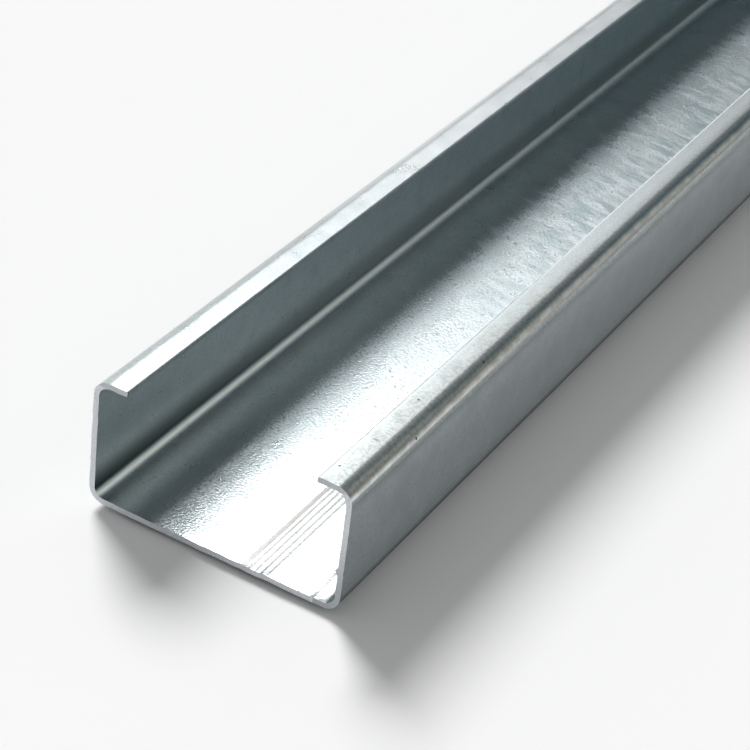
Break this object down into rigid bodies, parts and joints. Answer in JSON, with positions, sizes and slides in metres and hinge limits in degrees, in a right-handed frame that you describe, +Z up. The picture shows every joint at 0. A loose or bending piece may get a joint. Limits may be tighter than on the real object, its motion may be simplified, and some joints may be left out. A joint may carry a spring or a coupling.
{
  "type": "c purlin",
  "caption": "Cold-formed galvanised steel lipped channel, open along the top between inward lips, with fine roll marks along the web.",
  "frame": {"origin": "floor level under the middle of the web, halfway along the length", "axes": "+Y along the length, +X across the web towards the side with the roll marks, +Z up from the web to the lips"},
  "size_m": [0.15, 3, 0.075],
  "materials": {
    "galvanised_steel": "hot-dip galvanised, mottled spangle, satin"
  },
  "bodies": {
    "root": {"c_purlin": "galvanised_steel"}
  },
  "joints": []
}
